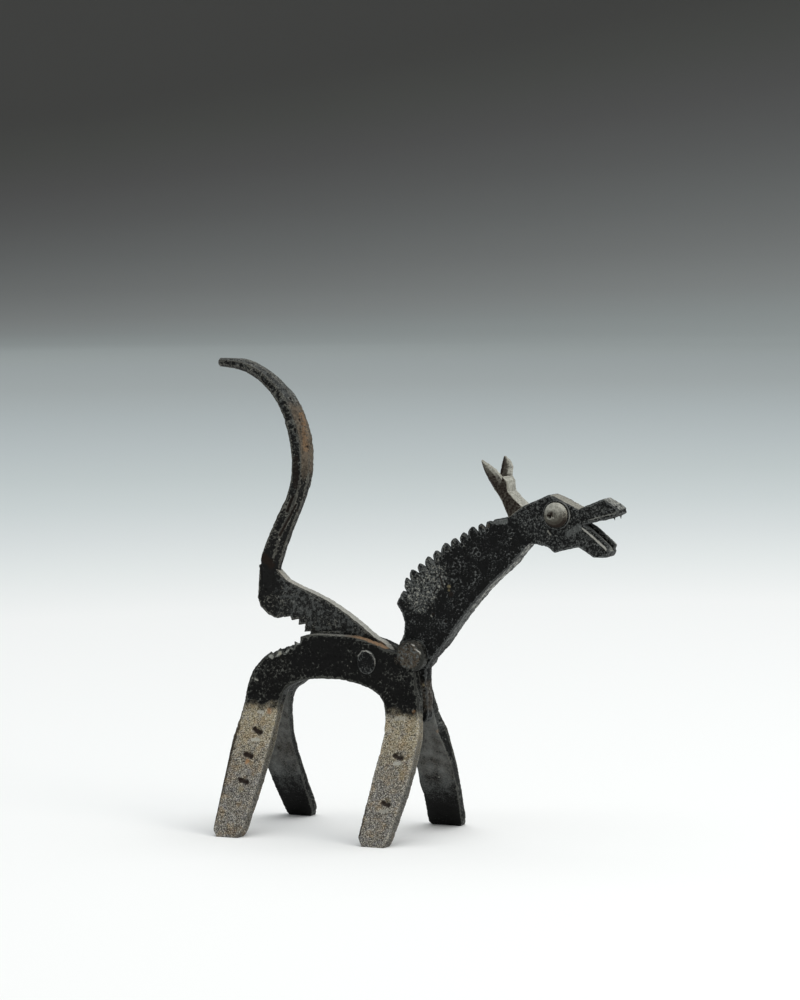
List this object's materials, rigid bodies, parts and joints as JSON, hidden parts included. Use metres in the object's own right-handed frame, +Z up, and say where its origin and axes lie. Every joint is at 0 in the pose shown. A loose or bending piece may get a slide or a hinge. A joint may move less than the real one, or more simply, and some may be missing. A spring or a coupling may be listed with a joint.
{
  "type": "lever nutcracker",
  "caption": "Hand-forged iron lever nutcracker shaped as a standing long-necked horned beast; the curled tail is the lever that presses a nut on the toothed haunch.",
  "frame": {"origin": "on the floor under the middle of the bounding box", "axes": "+X from the tail towards the head, +Y to the beast's left, +Z up"},
  "size_m": [0.188, 0.0776, 0.2019],
  "materials": {
    "soot_black_iron": "hammered and pitted wrought iron, soot black",
    "scaled_leg_iron": "rough forge scale with rust blotches, black above and grey-brown down the legs",
    "lever_iron": "hammered wrought iron, brown-rusted along the tail and rubbed on its edges",
    "rubbed_iron": "forged iron rubbed grey by handling"
  },
  "bodies": {
    "body": {"right_body_side": "scaled_leg_iron", "left_body_side": "scaled_leg_iron", "haunch_jaw_block": "soot_black_iron", "neck": "soot_black_iron", "head": "soot_black_iron", "horns": "rubbed_iron", "eye_rivet": "rubbed_iron", "right_eye_ring": "soot_black_iron", "left_eye_ring": "soot_black_iron", "pivot_rivet": "soot_black_iron", "shoulder_rivet": "scaled_leg_iron"},
    "lever": {"tail_lever": "lever_iron"}
  },
  "joints": [
    {"name": "lever_hinge", "type": "hinge", "parent": "body", "child": "lever", "pos_m": [-0.02097, 0, 0.07451], "axis": [0, 1, 0], "range_deg": [-6, 50]}
  ]
}
